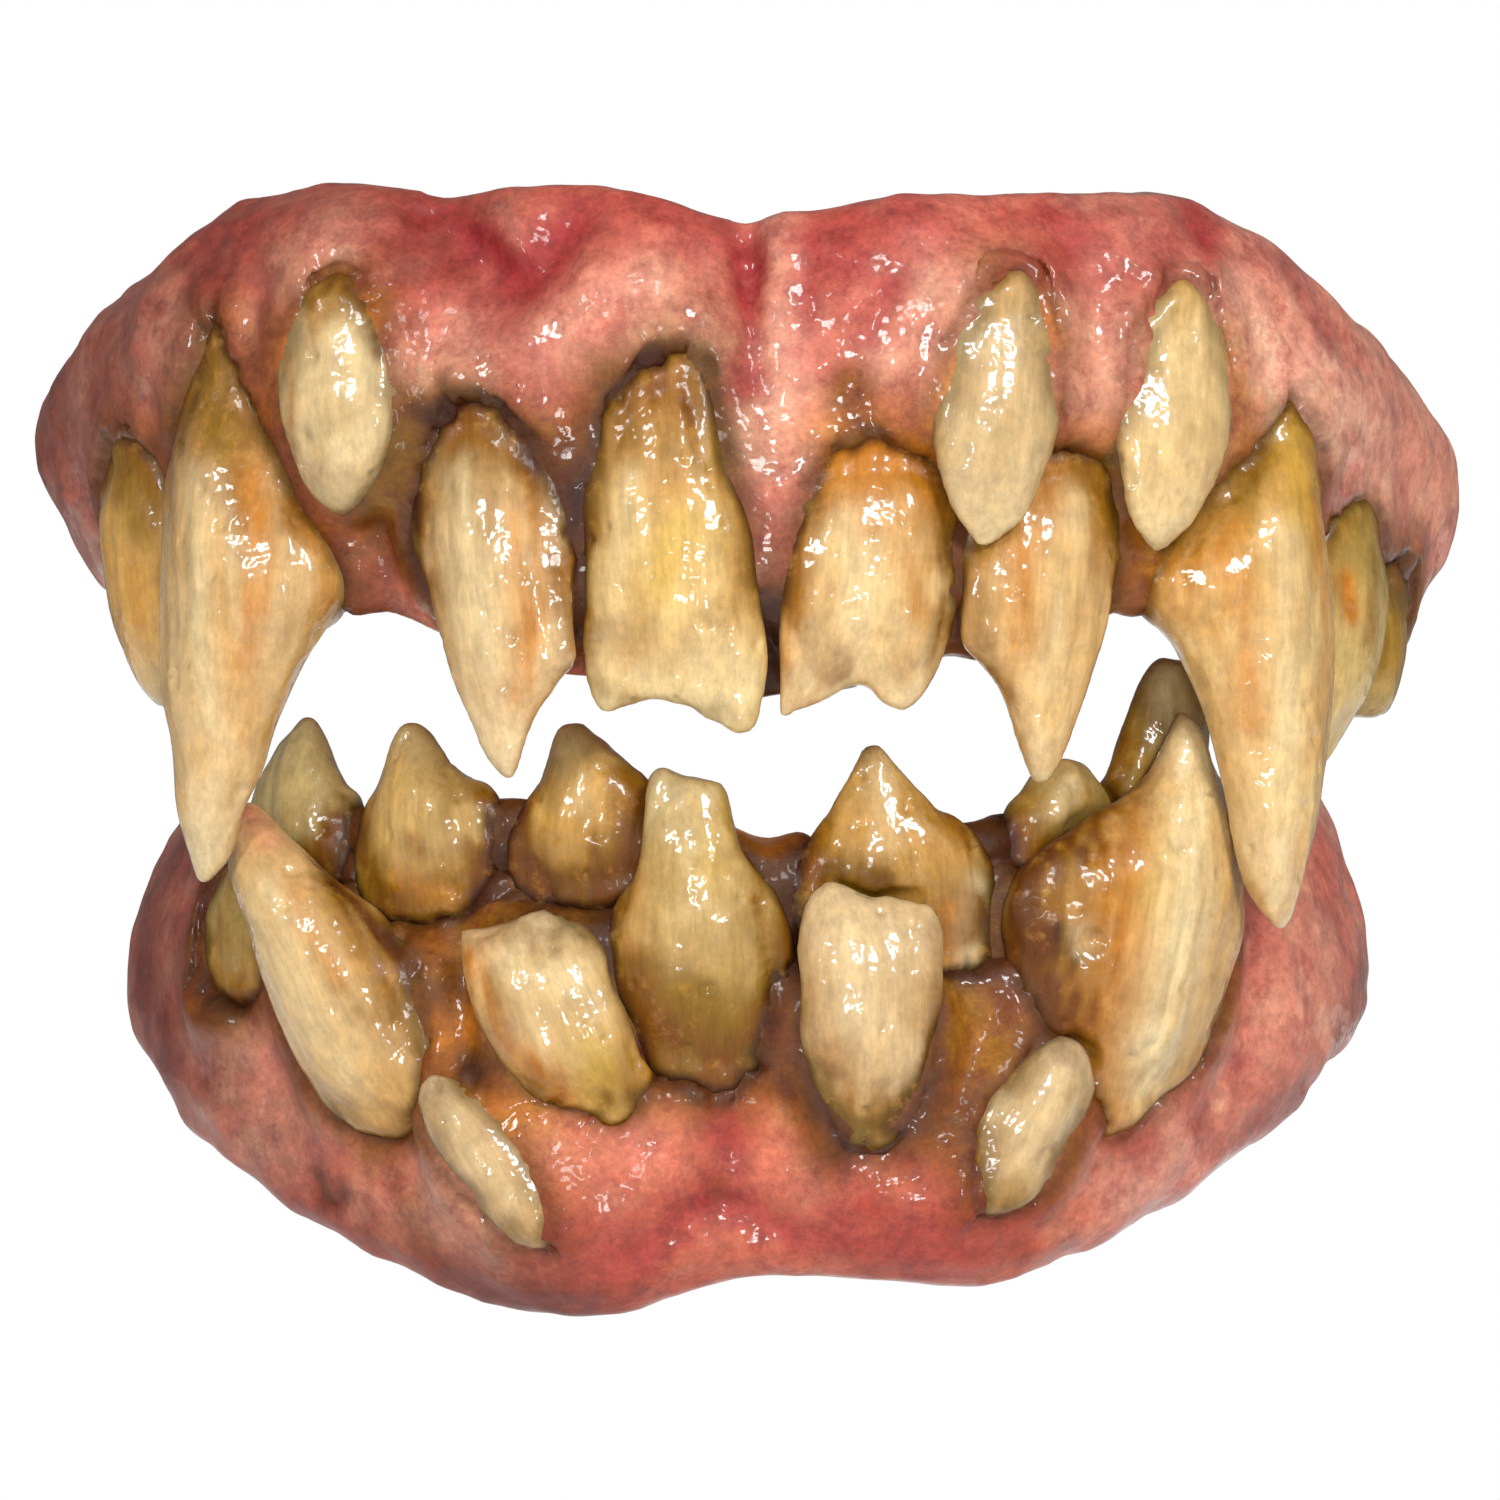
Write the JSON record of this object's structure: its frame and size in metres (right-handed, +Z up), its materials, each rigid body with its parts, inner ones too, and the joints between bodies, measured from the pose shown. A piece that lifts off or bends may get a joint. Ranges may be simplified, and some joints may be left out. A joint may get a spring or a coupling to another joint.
{
  "type": "costume teeth",
  "caption": "Monster denture worn over the wearer's own teeth: upper and lower horseshoe gums with crooked, stained teeth and long fangs, open channels behind.",
  "frame": {"origin": "middle of the open bite, between the upper and lower plates, at mid depth", "axes": "+X to the viewer's right, -Y towards the lips, +Z up"},
  "size_m": [0.0745, 0.0387, 0.0573],
  "materials": {
    "gum": "glossy wet-look varnish over mottled pink and dark red paint",
    "upper_tooth": "glossy cream with ochre streaks and brown roots",
    "lower_tooth": "glossy olive cream with heavy brown stain"
  },
  "bodies": {
    "root": {"upper_right_gum_tooth_front": "upper_tooth", "upper_right_gum_tooth_side": "upper_tooth", "upper_left_gum_tooth": "upper_tooth", "upper_left_fang": "upper_tooth", "upper_right_fang": "upper_tooth", "upper_left_central_incisor": "upper_tooth", "upper_right_central_incisor": "upper_tooth", "upper_left_lateral_incisor": "upper_tooth", "upper_right_lateral_incisor": "upper_tooth", "upper_left_premolar": "upper_tooth", "upper_right_premolar": "upper_tooth", "upper_right_molar": "upper_tooth", "upper_gum": "gum", "lower_right_front_incisor": "lower_tooth", "lower_left_front_incisor": "lower_tooth", "lower_left_low_tooth": "lower_tooth", "lower_right_low_tooth": "lower_tooth", "lower_left_tusk": "lower_tooth", "lower_right_tusk": "lower_tooth", "lower_central_incisor": "lower_tooth", "lower_right_lateral_incisor": "lower_tooth", "lower_left_lateral_incisor": "lower_tooth", "lower_left_premolar": "lower_tooth", "lower_left_molar": "lower_tooth", "lower_right_premolar": "lower_tooth", "lower_right_back_tooth": "lower_tooth", "lower_left_side_tooth": "lower_tooth", "lower_gum": "gum"}
  },
  "joints": []
}
